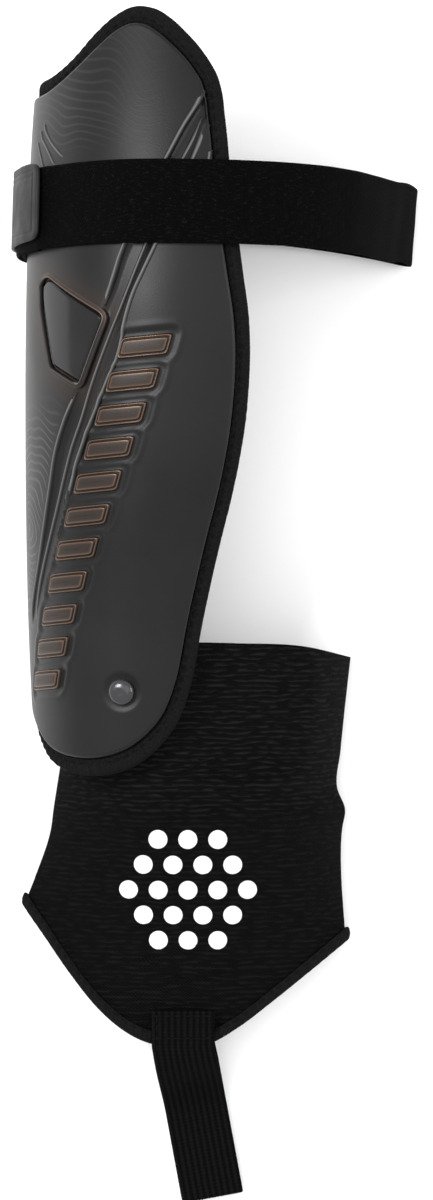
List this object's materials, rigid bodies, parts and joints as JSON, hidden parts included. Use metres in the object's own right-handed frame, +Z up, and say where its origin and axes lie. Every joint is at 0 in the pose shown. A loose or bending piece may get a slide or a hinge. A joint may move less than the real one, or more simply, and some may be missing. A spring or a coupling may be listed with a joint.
{
  "type": "shin guard",
  "caption": "Sports shin guard: curved moulded shell on a padded, tape-edged backing, elastic calf strap with a pull tab, and a knitted ankle sock with a webbing stirrup.",
  "frame": {"origin": "on the resting plane, directly under the middle of the ankle print on the sock's near face", "axes": "+Y up the shin from the foot to the knee, +X to the guard's open side, +Z up away from the surface it lies on"},
  "size_m": [0.1276, 0.3687, 0.076],
  "materials": {
    "shell": "satin moulded polypropylene",
    "window_inlay": "high gloss",
    "rivet": "high gloss",
    "backing": "brushed knit over closed-cell foam",
    "edge_binding": "brushed knitted tape",
    "calf_strap": "woven elastic",
    "strap_tab": "satin moulded rubber",
    "ankle_sock": "ribbed elastic knit",
    "sock_hem": "folded knitted tape",
    "stirrup_strap": "flat woven webbing"
  },
  "bodies": {
    "root": {"shell": "shell", "window_inlay": "window_inlay", "rivet": "rivet", "backing": "backing", "edge_binding": "edge_binding", "calf_strap": "calf_strap", "strap_tab": "strap_tab", "ankle_sock": "ankle_sock", "sock_hem": "sock_hem", "stirrup_strap": "stirrup_strap"}
  },
  "joints": []
}
